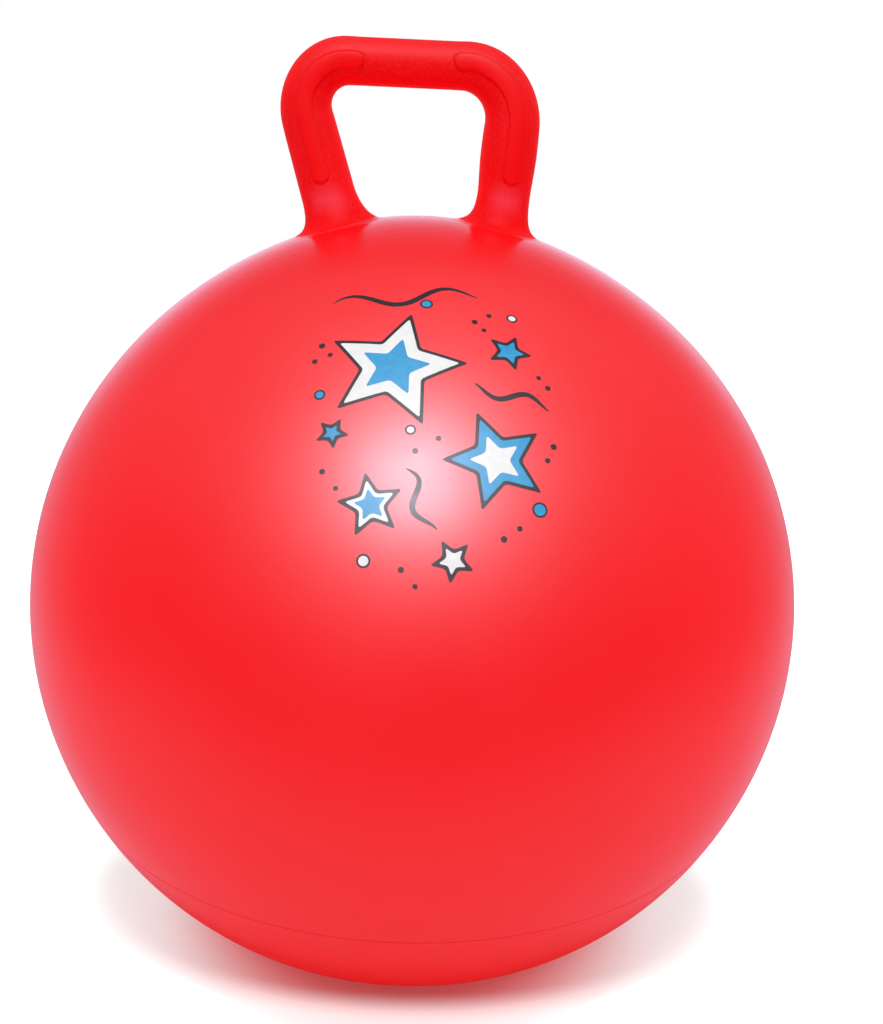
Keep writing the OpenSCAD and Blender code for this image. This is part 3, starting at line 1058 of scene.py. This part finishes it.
def moulded_material(name, dark, light, rough):
    """Small moulded piece: faint clouding and a fine moulded surface."""
    material, tree, shader, where = new_material(name)
    tone = blend_colour(tree, mottle(tree, where, scale=220.0, detail=3.0), dark, light)
    spread = (rough - MOULDED_ROUGH_SPREAD, rough + MOULDED_ROUGH_SPREAD)
    rough = mottle(tree, where, scale=500.0, detail=2.0, to=spread)
    normal = bump(tree, noise(tree, where, MOULDED_SCALE), MOULDED_H, RELIEF_STRENGTH)
    feed(tree, shader, {"Base Color": tone, "Roughness": rough, "Normal": normal})
    return material


# How far down a flare, as a share of it, the ball's own finish starts
GLOSSY_FOOT = 0.8


def dress(piece, material):
    piece.data.materials.clear()
    piece.data.materials.append(material)


def gloss_feet(piece, material):
    """Gives the foot of each flare the ball's finish."""
    piece.data.materials.append(material)
    foot = np.zeros(len(piece.data.vertices), np.float32)
    piece.data.attributes["foot"].data.foreach_get("value", foot)
    for face in piece.data.polygons:
        face.material_index = int(foot[list(face.vertices)].mean() > GLOSSY_FOOT)


glossy_vinyl = vinyl_material()
dress(ball, glossy_vinyl)
dress(handle, handle_material())
gloss_feet(handle, glossy_vinyl)
for name, piece in prints.items():
    dress(piece, ink_material(name))
dress(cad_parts["valve_sleeve"], moulded_material("valve_vinyl", VINYL_DEEP, VINYL, SLEEVE_ROUGH))
dress(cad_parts["valve_plug"], moulded_material("plug_plastic", PLUG_DARK, PLUG_LIGHT, PLUG_ROUGH))

for piece, node, slot in ((ball, "ball_skin", "ball_vinyl"), (handle, "handle", "handle_vinyl")):
    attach(piece, "ball")
    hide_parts(node)
for piece in prints.values():
    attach(piece, "ball")


# Stage: white floor, soft key light and a plain studio round it

FLOOR_HALF_W = 1.0
FLOOR_FRONT, FLOOR_BACK = -0.65, 4.0
FLOOR_ROUGH, FLOOR_SHEEN = 0.9, 0.1
WHITE = colour(1.0, 1.0, 1.0)
FLOOR_WHITE = colour(0.92, 0.92, 0.92)
# Painted red shade near the ball's contact, standing for the ball's red light on the floor
FLOOR_PAINTED_RED_SHADE = colour(0.95, 0.36, 0.38)
# Tones of the floor as the ball reflects it: painted darker and bluer, and painted dark red shade near the
# contact
FLOOR_MIRRORED = colour(0.6, 0.56, 0.72)
FLOOR_REFLECTED_PAINTED_SHADE = colour(0.6, 0.08, 0.08)
# Brightness added for the camera, outside the shadow and in its fringe: painted light that sets the shadow's
# oval outline and pales its fringe
FLOOR_GLOW, FRINGE_GLOW = 0.7, 0.3
FRINGE_TINT = colour(0.35, 1.0, 1.0)
# The shadow is an oval. Painted red shade lies near its middle, standing for the ball's red light on the floor,
# and painted dark red shade lies near the middle of the floor that the ball reflects
SHADOW_SQUASH = 0.5
SHADOW_EDGE = (0.100, 0.126)
RED_EDGE = (0.10, 0.175)
NEAR_EDGE = (0.14, 0.26)


def floor_material():
    """White floor that keeps the ball's shadow, with painted red shade in the middle of it."""
    material, tree, shader, where = new_material("floor_white")
    path = add(tree, "LightPath").outputs
    far = vector_length(tree, where)
    oval = add(tree, "Mapping", {0: where, 3: (SHADOW_SQUASH, 1, 1)}).outputs[0]
    clear = ease(tree, vector_length(tree, oval), *SHADOW_EDGE)
    pale = ease(tree, far, *RED_EDGE)

    # Painted red shade in the shadow's middle, and painted darker tones where the ball reflects the floor
    painted_red_shade = blend_colour(tree, pale, FLOOR_PAINTED_RED_SHADE, FLOOR_WHITE)
    mirrored = blend_colour(tree, ease(tree, far, *NEAR_EDGE), FLOOR_REFLECTED_PAINTED_SHADE, FLOOR_MIRRORED)
    tone = blend_colour(tree, path["Is Glossy Ray"], painted_red_shade, mirrored)
    feed(tree, shader, {"Base Color": tone, "Roughness": FLOOR_ROUGH, "Specular IOR Level": FLOOR_SHEEN})
    # Painted light for the camera: it whitens the floor outside the oval and pales the shadow's fringe
    added = blend(tree, clear, times(tree, pale, FRINGE_GLOW), FLOOR_GLOW)
    seen = times(tree, path["Is Camera Ray"], added)
    tint = blend_colour(tree, clear, FRINGE_TINT, WHITE)
    glow = add(tree, "Emission", {"Color": tint, "Strength": seen}).outputs[0]
    total = add(tree, "AddShader", {0: shader.outputs[0], 1: glow}).outputs[0]
    tree.links.new(total, tree.nodes["Material Output"].inputs["Surface"])
    return material


def build_floor():
    mesh = bpy.data.meshes.new("floor")
    corners = [
        (-FLOOR_HALF_W, FLOOR_FRONT, 0), (FLOOR_HALF_W, FLOOR_FRONT, 0),
        (FLOOR_HALF_W, FLOOR_BACK, 0), (-FLOOR_HALF_W, FLOOR_BACK, 0),
    ]
    mesh.from_pydata(corners, [], [(0, 1, 2, 3)])
    mesh.materials.append(floor_material())
    return link_object("floor", mesh)


build_floor()


# Light from all round comes from above and behind; the backdrop fades upwards and to the sides
AMBIENT = (0.06, 1.0)
AMBIENT_TILT = 0.5
ROOM, ROOM_LOW = 0.02, 0.16
BACKDROP, BACKDROP_SIDES = 1.0, 0.45
BACKDROP_TOP = 0.35
REFLECTED_TINT = colour(1.0, 0.94, 1.2)
# Where each starts and ends along a direction's Y, to the back, its Z, or for the sky its tilted Z
BEHIND = (0.4, 1.1)
BESIDE = (-0.05, 0.6)
TOP = (0.05, 0.5)
SKY = (0.0, 0.7)


def studio_world():
    """White to the camera. Reflections show that white backdrop low behind the ball, in a dark room."""
    world = bpy.data.worlds.new("studio")
    bpy.context.scene.world = world
    world.use_nodes = True
    world.cycles.sampling_method = "NONE"
    tree = world.node_tree
    tree.nodes.clear()
    path = add(tree, "LightPath").outputs
    way = add(tree, "SeparateXYZ", {0: add(tree, "TexCoord").outputs["Generated"]}).outputs
    behind = ease(tree, way["Y"], *BEHIND, 0.0, BACKDROP)
    beside = ease(tree, way["Y"], *BESIDE, ROOM_LOW, BACKDROP_SIDES)
    low = span(tree, way["Z"], *TOP, 1.0, BACKDROP_TOP)
    room = math_node(tree, "MULTIPLY_ADD", math_node(tree, "MAXIMUM", behind, beside), low, ROOM)
    tilted = math_node(tree, "MULTIPLY_ADD", way["Y"], AMBIENT_TILT, way["Z"])
    sky = ease(tree, tilted, *SKY, *AMBIENT)
    strength = blend(tree, path["Is Glossy Ray"], sky, room)
    strength = blend(tree, path["Is Camera Ray"], strength, 1.0)
    strength = blend(tree, path["Is Transmission Ray"], strength, 1.0)
    tint = blend_colour(tree, path["Is Glossy Ray"], WHITE, REFLECTED_TINT)
    glow = add(tree, "Background", {"Color": tint, "Strength": strength}).outputs[0]
    tree.links.new(glow, add(tree, "OutputWorld").inputs[0])


def look_at(place, target):
    """Rotation that points an object's -Z from its place at the target."""
    back = unit(np.asarray(place, float) - target)
    right = unit(np.cross([0, 0, 1.0], back))
    return Matrix(np.stack([right, np.cross(back, right), back], 1).tolist())


def hang(name, lamp, place, aim):
    """Puts a lamp in the scene at a place, pointed at its aim."""
    holder = link_object(name, lamp)
    holder.matrix_world = Matrix.Translation(place) @ look_at(place, aim).to_4x4()
    return holder


def softbox(name, elevation, azimuth, far, size, power, glossy=True):
    """Round softbox that faces the ball; azimuth 0 is the front, positive to the right."""
    lamp = bpy.data.lights.new(name, "AREA")
    lamp.shape = "DISK"
    lamp.size = size
    lamp.energy = power
    lamp.cycles.use_multiple_importance_sampling = glossy
    holder = hang(name, lamp, CENTRE + far * direction(elevation, azimuth), CENTRE)
    holder.visible_glossy = glossy


KEY_ELEVATION = 60 * DEG
KEY_FAR = 2.2
KEY_SIZE = 0.46
KEY_POWER = 11.5
FILL_ELEVATION, FILL_AZIMUTH = 3 * DEG, 55 * DEG
FILL_FAR, FILL_SIZE, FILL_POWER = 2.0, 1.2, 15.3
SHINE_ELEVATION = 56 * DEG
SHINE_POWER = 970
SHINE_TINT = (1.0, 0.91, 1.05)
SHINE_SPREAD = 7 * DEG
SHINE_LAT = 45.5 * DEG


def shine_lamp():
    """Soft spot below the key that only adds to the gloss; it fades out over the ball's sides and foot."""
    lamp = bpy.data.lights.new("shine", "SPOT")
    lamp.spot_size = 2 * SHINE_SPREAD
    lamp.spot_blend = 1.0
    lamp.shadow_soft_size = KEY_SIZE / 2
    lamp.energy = SHINE_POWER
    lamp.color = SHINE_TINT
    aim = CENTRE + BALL_R * direction(SHINE_LAT, 0)
    holder = hang("shine", lamp, CENTRE + KEY_FAR * direction(SHINE_ELEVATION, 0), aim)
    holder.visible_diffuse = False


studio_world()
softbox("key", KEY_ELEVATION, 0, KEY_FAR, KEY_SIZE, KEY_POWER)
softbox("fill_left", FILL_ELEVATION, -FILL_AZIMUTH, FILL_FAR, FILL_SIZE, FILL_POWER, glossy=False)
softbox("fill_right", FILL_ELEVATION, FILL_AZIMUTH, FILL_FAR, FILL_SIZE, FILL_POWER, glossy=False)
shine_lamp()


# Camera at the photograph's place: level with the front, above the ball and turned slightly

IMAGE_W, IMAGE_H = 883, 1024
FOCAL_PX = 1082
BALL_PX = (412.0, 604.3)
CAMERA_FAR = 3 * BALL_R
CAMERA_ELEVATION = 23 * DEG
CAMERA_ROLL = 1.6 * DEG


def build_camera():
    """Aims at the ball's middle. The shift puts that middle where the photograph's framing has it."""
    place = CENTRE + CAMERA_FAR * direction(CAMERA_ELEVATION, 0)
    camera = bpy.data.cameras.new("camera")
    camera.sensor_fit = "VERTICAL"
    camera.sensor_height = 24
    camera.lens = camera.sensor_height * FOCAL_PX / IMAGE_H
    camera.shift_x = (IMAGE_W / 2 - BALL_PX[0]) / IMAGE_H
    camera.shift_y = (BALL_PX[1] - IMAGE_H / 2) / IMAGE_H
    camera.clip_start = 0.01
    holder = link_object("camera", camera)
    turned = look_at(place, CENTRE) @ Matrix.Rotation(CAMERA_ROLL, 3, "Z")
    holder.matrix_world = Matrix.Translation(place) @ turned.to_4x4()
    bpy.context.scene.camera = holder


build_camera()
bpy.context.scene.view_settings.view_transform = "Standard"
